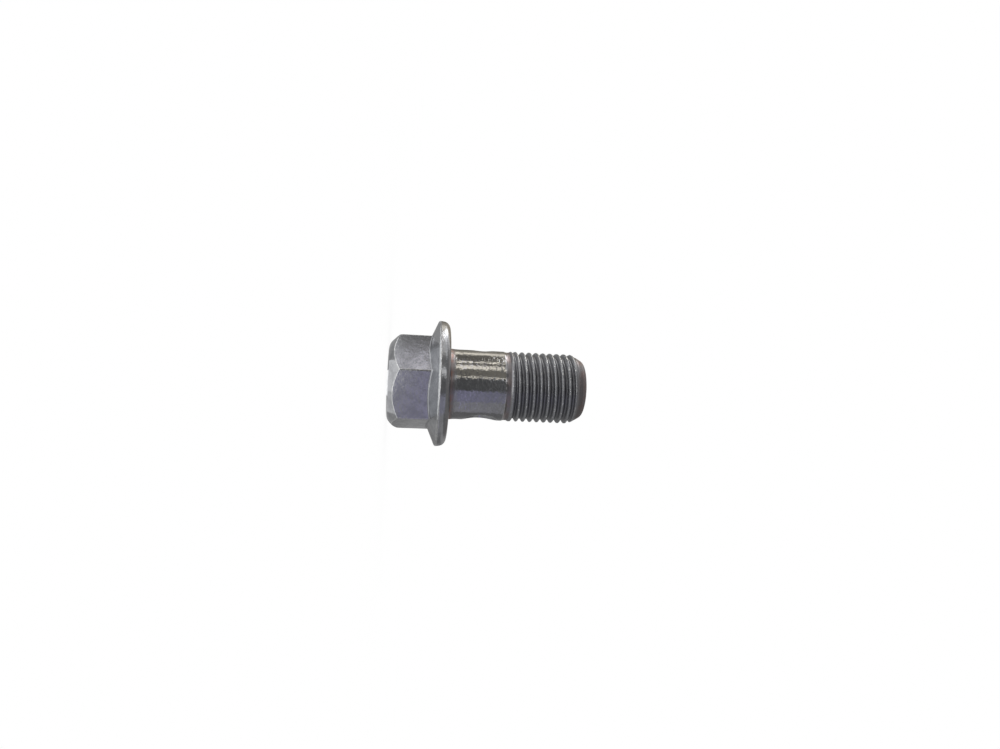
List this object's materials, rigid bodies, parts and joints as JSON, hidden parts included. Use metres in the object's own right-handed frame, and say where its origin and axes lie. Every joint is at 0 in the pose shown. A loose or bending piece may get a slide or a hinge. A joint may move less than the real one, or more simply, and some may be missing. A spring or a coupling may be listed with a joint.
{
  "type": "banjo bolt",
  "caption": "Hollow flanged hex bolt with a cross hole through its shank, for clamping a banjo union and passing fluid through it.",
  "frame": {"origin": "centre of the bearing face under the flange, on the bolt's axis", "axes": "+Z along the bolt's axis from the bearing face to the tip, so the head points down and the bolt stands on the flat end of its head; +X along the cross hole"},
  "size_m": [0.0176, 0.0176, 0.0275],
  "materials": {
    "zinc_plate": "bright zinc plate over steel, satin on the forged head and glossy on the turned shank and flange rim"
  },
  "bodies": {
    "root": {"banjo_bolt": "zinc_plate"}
  },
  "joints": []
}
